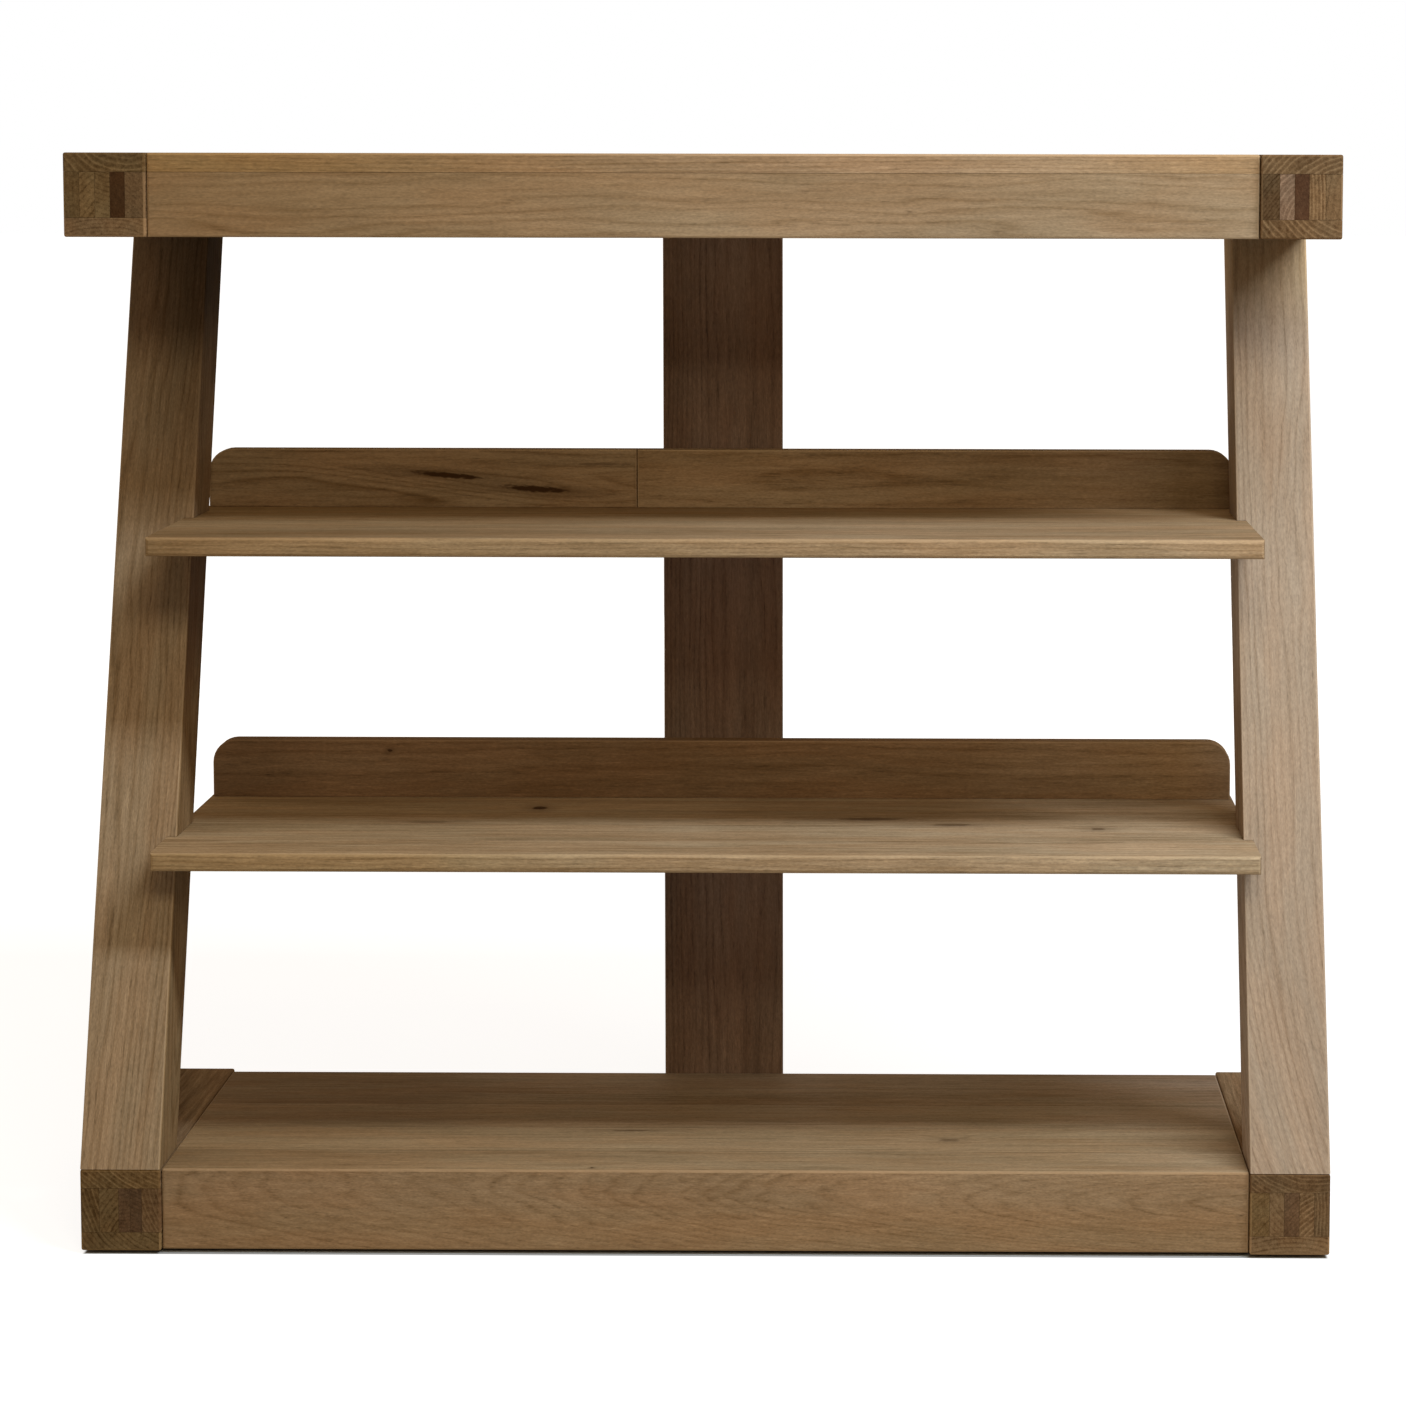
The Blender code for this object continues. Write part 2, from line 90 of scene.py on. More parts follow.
class Tree:
    """Adds nodes to one node tree. An input takes a plain value or another node's output."""

    def __init__(self, tree):
        self.tree = tree

    def join(self, value, socket):
        if isinstance(value, bpy.types.NodeSocket):
            self.tree.links.new(value, socket)
        else:
            socket.default_value = value

    def add(self, kind, inputs=None, output=0, **settings):
        """Add a node, set its inputs by name or number, and return one output, or with None all of them."""
        node = self.tree.nodes.new(kind)
        for name, value in settings.items():
            setattr(node, name, value)
        for name, value in (inputs or {}).items():
            self.join(value, node.inputs[name])
        return node.outputs if output is None else node.outputs[output]

    def math(self, operation, *values, clamp=False):
        return self.add("ShaderNodeMath", dict(enumerate(values)), operation=operation, use_clamp=clamp)

    def vector(self, operation, *values, output=0):
        return self.add("ShaderNodeVectorMath", dict(enumerate(values)), output, operation=operation)

    def parts(self, vector):
        """The three parts of a vector."""
        return self.add("ShaderNodeSeparateXYZ", {0: vector}, None)

    def noise(self, place, stretch, detail=2.0, roughness=0.5):
        """Noise from 0 to 1 whose lumps are one over stretch long, wide and deep."""
        vector = self.vector("MULTIPLY", place, stretch)
        inputs = {"Vector": vector, "Scale": 1.0, "Detail": detail, "Roughness": roughness}
        return self.add("ShaderNodeTexNoise", inputs)

    def swing(self, noise):
        """Noise that swings both ways from zero."""
        return self.math("SUBTRACT", noise, 0.5)

    def slant(self, first, second):
        """The length of a line from its lengths in two directions at right angles."""
        squares = [self.math("POWER", side, 2.0) for side in (first, second)]
        return self.math("SQRT", self.math("ADD", *squares))

    def remap(self, value, low, high, new_low=0.0, new_high=1.0, kind="SMOOTHSTEP"):
        inputs = {"Value": value, "From Min": low, "From Max": high, "To Min": new_low, "To Max": new_high}
        return self.add("ShaderNodeMapRange", inputs, interpolation_type=kind)

    def blend(self, factor, first, second, kind="MIX"):
        """Blend two colours."""
        inputs = {0: factor, 6: first, 7: second}
        return self.add("ShaderNodeMix", inputs, 2, data_type="RGBA", blend_type=kind)

    def dim(self, colour, amount):
        """Multiply a colour by a number."""
        factor = self.add("ShaderNodeCombineColor", {0: amount, 1: amount, 2: amount})
        return self.blend(1.0, colour, factor, "MULTIPLY")

    def ramp(self, factor, stops):
        """A grey ramp through (place, value) stops."""
        node = self.tree.nodes.new("ShaderNodeValToRGB")
        self.join(factor, node.inputs[0])
        elements = node.color_ramp.elements
        while len(elements) < len(stops):
            elements.new(1.0)
        for element, (place, value) in zip(elements, stops):
            element.position = place
            element.color = (value, value, value, 1.0)
        return node.outputs[0]


def grey(value):
    return (value, value, value, 1.0)


def toned(colour, amount):
    """Colour times a number, or times one number for each channel."""
    amounts = amount if isinstance(amount, tuple) else (amount,) * 3
    return tuple(channel * share for channel, share in zip(colour, amounts)) + (1.0,)


def make_group(name, inputs, outputs):
    """An empty node group, its input sockets by name, and its output node's sockets."""
    group = bpy.data.node_groups.new(name, "ShaderNodeTree")
    kinds = {"colour": "NodeSocketColor", "number": "NodeSocketFloat", "vector": "NodeSocketVector"}
    for direction, sockets in (("INPUT", inputs), ("OUTPUT", outputs)):
        for socket_name, kind in sockets:
            group.interface.new_socket(socket_name, in_out=direction, socket_type=kinds[kind])
    source = group.nodes.new("NodeGroupInput")
    target = group.nodes.new("NodeGroupOutput")
    return group, source.outputs, target.inputs


# Oak, worked out in the whole volume of a board. X runs along the pith, Y and Z are measured from it.

# A feature's lumps are one over its stretch long, wide and deep, in metres
wander_stretch = (1.6, 9.0, 9.0)
flutter_stretch = (9.0, 60.0, 60.0)
fibre_stretch = (16.0, 270.0, 270.0)
dash_stretch = (60.0, 700.0, 700.0)
fleck_stretch = (85.0, 850.0, 850.0)
speckle_stretch = (330.0, 900.0, 900.0)
pore_stretch = (70.0, 2100.0, 2100.0)
patch_stretch = (2.4, 16.0, 16.0)
blush_stretch = (7.0, 36.0, 36.0)

# Growth rings: how dark one ring is from its start to its end, and how far rings stray, in ring widths
ring_profile = (
    (0.0, 1.0), (0.08, 0.80), (0.20, 0.28), (0.38, 0.02), (0.62, 0.12), (0.86, 0.45), (1.0, 1.0),
)
wander_rings = 5.0
flutter_rings = 1.3

# Rings differ in strength: the faintest ring's strength, and how much the noise moves on from ring to ring
faint_ring = 0.25
ring_strength_step = 0.55

# Most of a noise lies between these
noise_middle = (0.3, 0.7)

# A feature shows where its noise rises from the first of its levels to the second
dash_levels = (0.56, 0.70)
fleck_levels = (0.56, 0.72)
pore_levels = (0.58, 0.72)
blush_levels = (0.36, 0.64)

# In dark parts of a ring dashes and pores show more, flecks less: the share that always shows and the rest
dash_in_rings = (0.35, 0.8)
pore_in_rings = (0.3, 0.7)
fleck_in_rings = (1.0, -0.7)

# How deep the tone is between the rings, from pale at 0 to deep at 1, and how far features may take it
plain_depth = 0.28
depth_limits = (-0.15, 1.3)

# What features do to the brightness
pore_light = -0.40
dash_light = -0.26
fleck_light = 0.20
speckle_light = 0.55
end_light = 0.66

# What features do to the colour. A worn edge, with a painted highlight on it, is paler by a share that
# follows the fibre.
warm_cast = (1.025, 0.99, 0.965, 1.0)
cool_cast = (0.98, 1.005, 1.025, 1.0)
mark_cast = (0.30, 0.24, 0.22, 1.0)
worn_light = 1.3
worn_shares = (0.25, 0.60)

# What features do to the roughness
plain_rough = 0.66
fibre_rough = 0.20
pore_rough = 0.15
end_rough = 0.10

# What features do to the height of the surface, in metres
pore_height = -0.00006
dash_height = -0.00004
ring_height = -0.00003
fibre_height = 0.00003
mark_height = -0.0003
bump_strength = 0.7


def make_oak_group():
    inputs = (
        ("Place", "vector"), ("Pale", "colour"), ("Deep", "colour"), ("Ring Width", "number"),
        ("Ring Depth", "number"), ("Unrest", "number"), ("Fibre", "number"), ("Patch", "number"),
        ("Push", "number"), ("Mark", "number"), ("End", "number"), ("Arris", "number"), ("Specks", "number"),
    )
    outputs = (("Color", "colour"), ("Roughness", "number"), ("Height", "number"))
    group, given, result = make_group("oak", inputs, outputs)
    tree = Tree(group)
    place = given["Place"]
    _, across, deep = tree.parts(place)

    def within_rings(feature, ring, shares):
        always, rest = shares
        return tree.math("MULTIPLY", feature, tree.math("MULTIPLY_ADD", ring, rest, always))

    wander = tree.swing(tree.noise(place, wander_stretch))
    flutter = tree.swing(tree.noise(place, flutter_stretch))
    unrest = tree.math("MULTIPLY", given["Unrest"], given["Ring Width"])
    radius = tree.slant(across, deep)
    radius = tree.math("MULTIPLY_ADD", wander, tree.math("MULTIPLY", unrest, wander_rings), radius)
    radius = tree.math("MULTIPLY_ADD", flutter, tree.math("MULTIPLY", unrest, flutter_rings), radius)
    radius = tree.math("ADD", radius, given["Push"])
    count = tree.math("DIVIDE", radius, given["Ring Width"])
    ring = tree.ramp(tree.math("FRACT", count), ring_profile)
    along_rings = tree.add("ShaderNodeCombineXYZ", {0: count})
    ring_strength = tree.noise(along_rings, (ring_strength_step, 1.0, 1.0), detail=1.0)
    ring_strength = tree.remap(ring_strength, *noise_middle, faint_ring, 1.0)
    ring = tree.math("MULTIPLY", ring, ring_strength)

    fibre = tree.noise(place, fibre_stretch, detail=4.0, roughness=0.6)
    patch = tree.noise(place, patch_stretch)
    blush = tree.noise(place, blush_stretch)
    dash = tree.remap(tree.noise(place, dash_stretch, detail=1.0), *dash_levels)
    dash = within_rings(dash, ring, dash_in_rings)
    fleck = tree.remap(tree.noise(place, fleck_stretch, detail=1.0), *fleck_levels)
    fleck = within_rings(fleck, ring, fleck_in_rings)
    speckle = tree.swing(tree.noise(place, speckle_stretch, detail=1.0))
    pore = tree.remap(tree.noise(place, pore_stretch, detail=1.0), *pore_levels)
    pore = within_rings(pore, ring, pore_in_rings)

    least_depth, most_depth = depth_limits
    depth = tree.math("MULTIPLY_ADD", ring, given["Ring Depth"], plain_depth)
    depth = tree.math("MULTIPLY_ADD", tree.swing(fibre), given["Fibre"], depth)
    depth = tree.math("MULTIPLY_ADD", tree.swing(patch), given["Patch"], depth)
    depth = tree.math("MAXIMUM", tree.math("MINIMUM", depth, most_depth), least_depth)
    tones = {0: depth, 6: given["Pale"], 7: given["Deep"]}
    colour = tree.add("ShaderNodeMix", tones, 2, data_type="RGBA", clamp_factor=False)
    cast = tree.blend(tree.remap(blush, *blush_levels), warm_cast, cool_cast)
    colour = tree.blend(1.0, colour, cast, "MULTIPLY")
    specks = tree.math("MULTIPLY", pore, pore_light)
    specks = tree.math("MULTIPLY_ADD", dash, dash_light, specks)
    specks = tree.math("MULTIPLY_ADD", fleck, fleck_light, specks)
    light = tree.math("MULTIPLY_ADD", specks, given["Specks"], 1.0)
    light = tree.math("MULTIPLY_ADD", speckle, speckle_light, light)
    colour = tree.dim(colour, light)
    colour = tree.dim(colour, tree.remap(given["End"], 0.0, 1.0, 1.0, end_light, "LINEAR"))
    # Worn edges with a painted highlight: paler along the rounded edges
    wear_and_highlight = tree.math("MULTIPLY", given["Arris"], tree.remap(fibre, *noise_middle, *worn_shares))
    colour = tree.blend(wear_and_highlight, colour, tree.blend(1.0, given["Pale"], grey(worn_light), "MULTIPLY"))
    colour = tree.blend(given["Mark"], colour, tree.blend(1.0, given["Deep"], mark_cast, "MULTIPLY"))

    rough = tree.math("MULTIPLY_ADD", fibre, fibre_rough, plain_rough)
    rough = tree.math("MULTIPLY_ADD", pore, pore_rough, rough)
    rough = tree.math("MULTIPLY_ADD", given["End"], end_rough, rough, clamp=True)
    height = tree.math("MULTIPLY", pore, pore_height)
    height = tree.math("MULTIPLY_ADD", dash, dash_height, height)
    height = tree.math("MULTIPLY_ADD", ring, ring_height, height)
    height = tree.math("MULTIPLY_ADD", fibre, fibre_height, height)
    height = tree.math("MULTIPLY_ADD", given["Mark"], mark_height, height)
    tree.join(colour, result["Color"])
    tree.join(rough, result["Roughness"])
    tree.join(height, result["Height"])
    return group


# Knots and dark streaks have a ragged outline. Their reaches are shares of their half length and width.
ragged_stretch = (110.0, 420.0, 1.0)
raggedness = 1.1
core_reach = (1.0, 0.45)
halo_reach = (2.6, 0.8)
halo_dark = 0.30
push_fading = -0.12


def make_mark_group():
    """A knot or dark streak through a board: how dark it is here and how far it pushes the rings aside."""
    inputs = (
        ("Along", "number"), ("Across", "number"), ("Half Length", "number"), ("Half Width", "number"),
        ("Depth", "number"), ("Push Share", "number"),
    )
    group, given, result = make_group("mark", inputs, (("Dark", "number"), ("Push", "number")))
    tree = Tree(group)
    along = tree.math("DIVIDE", given["Along"], given["Half Length"])
    across = tree.math("DIVIDE", given["Across"], given["Half Width"])
    place = tree.add("ShaderNodeCombineXYZ", {0: given["Along"], 1: given["Across"]})
    ragged = tree.swing(tree.noise(place, ragged_stretch, detail=3.0))
    distance = tree.slant(along, across)
    ragged_distance = tree.math("MULTIPLY_ADD", ragged, raggedness, distance)
    core = tree.remap(ragged_distance, *core_reach)
    halo = tree.remap(ragged_distance, *halo_reach, 0.0, halo_dark)
    tree.join(tree.math("MULTIPLY", tree.math("MAXIMUM", core, halo), given["Depth"]), result["Dark"])
    bell = tree.math("EXPONENT", tree.math("MULTIPLY", tree.math("POWER", distance, 2.0), push_fading))
    push = tree.math("MULTIPLY", given["Half Width"], given["Push Share"])
    tree.join(tree.math("MULTIPLY", bell, push), result["Push"])
    return group


oak_group = make_oak_group()
mark_group = make_mark_group()

# Wood tones, pale and deep, as they look in plain light
oak_tones = {
    "straw": ((0.370, 0.250, 0.145), (0.190, 0.112, 0.052)),
    "silver": ((0.460, 0.345, 0.245), (0.290, 0.200, 0.130)),
    "umber": ((0.225, 0.135, 0.066), (0.100, 0.053, 0.023)),
    "smoke": ((0.215, 0.135, 0.084), (0.105, 0.060, 0.035)),
    "olive": ((0.205, 0.127, 0.056), (0.090, 0.050, 0.019)),
    "rust": ((0.135, 0.065, 0.033), (0.066, 0.029, 0.015)),
    "russet": ((0.170, 0.096, 0.050), (0.080, 0.043, 0.021)),
    "heart": ((0.065, 0.031, 0.013), (0.034, 0.015, 0.006)),
}

# A fine dark line at the joints between staves: where it ends and where it is full, from its middle
stave_line_edge = 0.0008
stave_line_full = 0.0003
stave_line_dark = -0.3

# How far the grain of a stave may be shifted at most, along, across and deep
stave_shift = (4.0, 0.05, 0.012)

# How squarely a surface faces one of the grain's directions, at end grain and at a rounded edge
end_facing = (0.75, 0.95)
arris_facing = (0.985, 0.93)

# How strongly a board with pale lines shows its rings away from the end grain
long_face_rings = 0.35


def grain_turn(along, across):
    """The rotation that turns a grain direction to +X and the direction across it to +Y."""
    first = Vector(along).normalized()
    second = Vector(across).normalized()
    return Matrix((first, second, first.cross(second)))


def new_material(name):
    material = bpy.data.materials.new(name)
    material.use_nodes = True
    material.node_tree.nodes.clear()
    return material, Tree(material.node_tree)


def finish_surface(tree, inputs, height):
    """Close a material with a Principled shader and a bump from a height in metres."""
    bump = tree.add("ShaderNodeBump", {"Strength": bump_strength, "Distance": 1.0, "Height": height})
    shader = tree.add("ShaderNodeBsdfPrincipled", {**inputs, "Normal": bump})
    tree.add("ShaderNodeOutputMaterial", {"Surface": shader}, None)


def bend_grain(tree, place, axes, bend):
    """Lets the grain curve aside below a height."""
    start, curve = bend
    below = tree.math("MAXIMUM", tree.math("SUBTRACT", start, axes["z"]), 0.0)
    aside = tree.math("MULTIPLY", tree.math("POWER", below, 2.0), -curve)
    return tree.vector("ADD", place, tree.add("ShaderNodeCombineXYZ", {1: aside}))


def split_staves(tree, place, axes, staves, chance):
    """The place in the grain and the brightness of a board glued up from staves, front to back: each stave's
    tone, with painted light and shade.
    """
    stave_tone_and_shade = 1.0
    joint_line = 0.0
    number = 0.0
    for joint, tone_and_shade_share in staves:
        past = tree.math("GREATER_THAN", axes["y"], joint)
        number = tree.math("ADD", number, past)
        this_tone_and_shade = tree.remap(past, 0.0, 1.0, 1.0, tone_and_shade_share, "LINEAR")
        stave_tone_and_shade = tree.math("MULTIPLY", stave_tone_and_shade, this_tone_and_shade)
        away = tree.math("ABSOLUTE", tree.math("SUBTRACT", axes["y"], joint))
        joint_line = tree.math("MAXIMUM", joint_line, tree.remap(away, stave_line_edge, stave_line_full))
    number = tree.math("ADD", number, chance.uniform(0.0, 50.0))
    spread = tree.add("ShaderNodeTexWhiteNoise", {"W": number}, 1, noise_dimensions="1D")
    place = tree.vector("MULTIPLY_ADD", spread, stave_shift, place)
    line_tone = tree.math("MULTIPLY_ADD", joint_line, stave_line_dark, 1.0)
    return place, tree.math("MULTIPLY", stave_tone_and_shade, line_tone)


def place_marks(tree, axes, marks, mark_axes):
    """How far knots and streaks push the rings aside, and how dark they are."""
    push = 0.0
    dark = 0.0
    for mark_along, mark_across, half_length, half_width, depth, push_share, slope in marks:
        from_middle = tree.math("SUBTRACT", axes[mark_axes[0]], mark_along)
        beside = tree.math("SUBTRACT", axes[mark_axes[1]], mark_across)
        given = {
            "Along": from_middle, "Across": tree.math("MULTIPLY_ADD", from_middle, -slope, beside),
            "Half Length": half_length, "Half Width": half_width, "Depth": depth, "Push Share": push_share,
        }
        mark = tree.add("ShaderNodeGroup", given, None, node_tree=mark_group)
        push = tree.math("ADD", push, mark["Push"])
        dark = tree.math("MAXIMUM", dark, mark["Dark"])
    return push, dark


def find_edges(tree, turn, axes, rub, worn):
    """How far a surface is end grain, and how far it is an edge with wear and a painted highlight."""
    normal = tree.add("ShaderNodeNewGeometry", output="Normal")
    mapping = {"Vector": normal, "Rotation": turn.to_euler("XYZ")}
    facing = tree.vector("ABSOLUTE", tree.add("ShaderNodeMapping", mapping, vector_type="NORMAL"))
    nx, ny, nz = tree.parts(facing)
    end = tree.remap(nx, *end_facing)
    arris = tree.remap(tree.math("MAXIMUM", nx, tree.math("MAXIMUM", ny, nz)), *arris_facing)
    arris = tree.math("MULTIPLY", arris, rub)
    if worn:
        worn_axes, worn_places, reach = worn
        away = tree.slant(*(
            tree.math("SUBTRACT", axes[axis], middle) for axis, middle in zip(worn_axes, worn_places)
        ))
        arris = tree.math("MAXIMUM", arris, tree.remap(away, reach, reach / 3))
    return end, arris


def tone_and_painted_light_tint(tree, axes, drifts):
    """The product of the tints of several drifts of tone and painted light. In place of a tint a drift may
    hold a list of drifts.
    """
    product = grey(1.0)
    for axis, first_place, last_place, *tints in drifts:
        first, last = (
            tone_and_painted_light_tint(tree, axes, tint) if isinstance(tint, list) else toned(tint, 1.0) for tint in tints
        )
        tint = tree.blend(tree.remap(axes[axis], first_place, last_place), first, last)
        product = tree.blend(1.0, product, tint, "MULTIPLY")
    return product


def oak_look(tree, name, tone, shade, pith, along=rightward, across=backward, ring_width=0.003,
             ring_depth=0.9, unrest=1.0, fibre=1.1, patch=0.9, specks=1.0, marks=(), mark_axes="xz",
             staves=(), bend=None, drifts=(), worn=None, rub=1.0, pale_lines=False):
    """Colour, roughness and height of one board's oak.

    Tone names a pair in oak_tones, and shade multiplies it.
    Pith is a point on the axis of the growth rings, and along and across are the grain's directions.
    Ring_width is in metres. Ring_depth, unrest, fibre, patch and specks say how much each feature shows.
    Marks are (along, across, half length, half width, depth, push share, slope), measured on mark_axes.
    Staves are (joint, tone): from that joint backwards the board is so much brighter or darker, for the
    stave's own tone and for painted light and shade.
    Bend is (height, curve): below that height the grain curves aside.
    Drifts of tone and painted light are (axis, first place, last place, first tint, last tint): tone that
    changes along a board, and painted light and shade.
    The worn edge, as (its two axes, its place on each, reach), is made paler by wear and a painted
    highlight.
    The rub says how strongly the other edges are made paler by wear and a painted highlight.
    Pale_lines swaps the pale and deep tones and calms the rings away from the end grain."""
    chance = random.Random(name)
    point = tree.add("ShaderNodeTexCoord", output="Object")
    turn = grain_turn(along, across)
    shift = -(turn @ Vector(pith)) + Vector((chance.uniform(3.0, 40.0), 0.0, 0.0))
    mapping = {"Vector": point, "Location": shift, "Rotation": turn.to_euler("XYZ")}
    place = tree.add("ShaderNodeMapping", mapping, vector_type="POINT")
    axes = dict(zip("xyz", tree.parts(point)))
    if bend:
        place = bend_grain(tree, place, axes, bend)
    if staves:
        place, stave_tone_and_shade = split_staves(tree, place, axes, staves, chance)
    push, dark = place_marks(tree, axes, marks, mark_axes)
    end, arris = find_edges(tree, turn, axes, rub, worn)

    pale, deep = (toned(colour, shade) for colour in oak_tones[tone])
    if pale_lines:
        pale, deep = deep, pale
        ring_depth = tree.remap(end, 0.0, 1.0, long_face_rings * ring_depth, ring_depth, "LINEAR")
    given = {
        "Place": place, "Pale": pale, "Deep": deep, "Ring Width": ring_width, "Ring Depth": ring_depth,
        "Unrest": unrest, "Fibre": fibre, "Patch": patch, "Push": push, "Mark": dark, "End": end,
        "Arris": arris, "Specks": specks,
    }
    oak = tree.add("ShaderNodeGroup", given, None, node_tree=oak_group)
    colour = oak["Color"]
    if drifts:
        colour = tree.blend(1.0, colour, tone_and_painted_light_tint(tree, axes, drifts), "MULTIPLY")
    if staves:
        colour = tree.dim(colour, stave_tone_and_shade)
    return colour, oak["Roughness"], oak["Height"]


def make_oak(name, tone, shade, lip=None, gloss=0.004, **settings):
    """Oak for one board. The settings are those of oak_look.

    A lip, as (back of the lip, its name, its look), is another board's grain on the front edge."""
    material, tree = new_material(name)
    colour, rough, height = oak_look(tree, name, tone, shade, **settings)
    if lip:
        lip_back, lip_name, lip_settings = lip
        lip_colour, lip_rough, lip_height = oak_look(tree, lip_name, **lip_settings)
        point = tree.add("ShaderNodeTexCoord", output="Object")
        on_lip = tree.math("LESS_THAN", tree.parts(point)[1], lip_back)
        colour = tree.blend(on_lip, colour, lip_colour)
        rough = tree.add("ShaderNodeMix", {0: on_lip, 2: rough, 3: lip_rough})
        height = tree.add("ShaderNodeMix", {0: on_lip, 2: height, 3: lip_height})
    inputs = {"Base Color": colour, "Roughness": rough, "Specular IOR Level": gloss}
    finish_surface(tree, inputs, height)
    return material


def dress(node_name, material):
    node = nodes[node_name]
    node.data.materials.clear()
    node.data.materials.append(material)


# An edge or a face can have tones and painted light and shade of its own. Between these depths they change
# to those behind it.
edge_depths = (0.0005, 0.0015)
face_depths = (0.001, 0.003)
inner_depths = (0.0002, 0.0010)
plain_tint = (1.0, 1.0, 1.0)

# How far worn edges with a painted highlight reach, and how deep the base rail's grain covers the base
# panel's front edge
worn_reach = 0.0022
lip_depth = 0.0012


def front_band(front, depths):
    """The axis and places of a drift that sets a front edge or face apart from what lies behind it."""
    first_depth, last_depth = depths
    return "y", front + first_depth, front + last_depth


# Top
dress("top_front_rail", make_oak(
    "oak_top_front_rail", "straw", (0.88, 0.87, 0.84), pith=(0.0, -0.095, 0.80), along=(1.0, 0.015, 0.004),
    across=(-0.015, 1.0, 0.0), ring_width=0.0042, ring_depth=0.40, unrest=1.7, fibre=0.75, patch=1.3,
    specks=0.65, drifts=(
        # Painted light: darker and warmer on the left, paler and bluer on the right, where the key light
        # falls
        ("x", -0.42, 0.30, (0.98, 0.93, 0.85), (1.11, 1.17, 1.28)),
        ("z", 0.825, 0.855, (1.02, 1.03, 1.05), (0.97, 0.95, 0.93)),
    ),
    marks=(
        (0.123, 0.8597, 0.030, 0.0016, 0.22, 1.0, 0.0), (0.090, 0.851, 0.022, 0.0016, 0.20, 1.0, 0.0),
        (0.000, 0.8438, 0.018, 0.0020, 0.16, 1.0, 0.0), (0.162, 0.8347, 0.003, 0.0008, 0.45, 1.0, 0.0),
    )))
dress("top_back_rail", make_oak("oak_top_back_rail", "straw", 0.95, pith=(0.0, 0.09, 0.86), ring_depth=0.5))
dress("top_panel", make_oak(
    "oak_top_panel", "straw", (0.91, 0.89, 0.84), pith=(0.0, -0.10, 0.80), ring_depth=0.5,
    drifts=(
        # Painted light: darker and warmer on the left, paler and bluer towards the right
        ("x", -0.42, 0.10, (0.93, 0.83, 0.63), (1.15, 1.15, 1.24)),
        ("x", 0.24, 0.42, plain_tint, (0.90, 0.88, 0.80)),
    ),
    staves=((-0.10, 1.05), (-0.03, 0.93), (0.04, 1.06), (0.11, 0.96))))

# Base: the front rail's grain also covers the front edge of the panel above it
# The front top edge of the base is paler: wear and a painted highlight
base_worn = ("yz", (panel_front, base_top), worn_reach)
base_front = {
    "tone": "straw", "shade": (0.92, 0.89, 0.84), "pith": (-0.02, -0.11, 0.052),
    "along": (1.0, -0.10, -0.02), "across": (0.10, 1.0, 0.0), "ring_width": 0.0027, "ring_depth": 0.34,
    "unrest": 1.7, "specks": 0.8, "worn": base_worn,
    "drifts": (
        ("z", 0.020, 0.052, (0.99, 0.965, 0.925), (1.03, 1.03, 1.05)),
        ("x", 0.05, 0.42, (1.01, 1.00, 1.00), (1.00, 0.99, 0.99)),
    ),
}
base_front_oak = make_oak("oak_base_front_rail", **base_front)
dress("base_front_rail", base_front_oak)
dress("base_back_rail", make_oak("oak_base_back_rail", "straw", 0.9, pith=(0.0, 0.09, 0.06), ring_depth=0.5))
dress("base_panel", make_oak(
    "oak_base_panel", "straw", 1.0, pith=(0.0, -0.10, -0.01), ring_depth=0.40, fibre=1.2, patch=1.6,
    worn=base_worn, gloss=0.02, lip=(panel_front + lip_depth, "oak_base_front_rail", base_front),
    drifts=(
        # Painted light: darker and warmer on the left, paler and bluer to the right
        ("x", -0.40, 0.20, (0.764, 0.72, 0.62), (0.91, 0.925, 0.90)),
        # Painted reflection: paler and bluer towards the back and at the right
        ("x", -0.28, -0.18, plain_tint, [("y", 0.04, 0.14, plain_tint, (1.05, 1.08, 1.20))]),
        ("x", 0.28, 0.38, plain_tint, (1.05, 1.07, 1.12)),
        ("y", -0.045, 0.0, plain_tint, [
            ("x", -0.26, -0.17, (0.87, 0.88, 0.93), (1.04, 1.07, 1.15)),
            ("x", -0.04, 0.03, plain_tint, (1.07, 1.08, 1.13)),
            ("x", 0.07, 0.13, plain_tint, (0.90, 0.86, 0.78)),
            ("x", 0.15, 0.24, plain_tint, (0.92, 0.92, 0.90)),
            ("x", 0.27, 0.34, plain_tint, (1.10, 1.12, 1.20)),
        ]),
    ),
    marks=(
        (-0.066, -0.040, 0.026, 0.0028, 0.75, 1.0, 0.0), (0.197, -0.066, 0.012, 0.0060, 0.60, 2.0, 0.0),
        (-0.091, -0.153, 0.0020, 0.0018, 1.0, 0.5, 0.0),
    ), mark_axes="xy",
    # Staves: their own tones, and painted shade towards the back
    staves=((-0.103, 1.03), (-0.03, 0.97), (0.045, 0.98), (0.10, 0.93))))

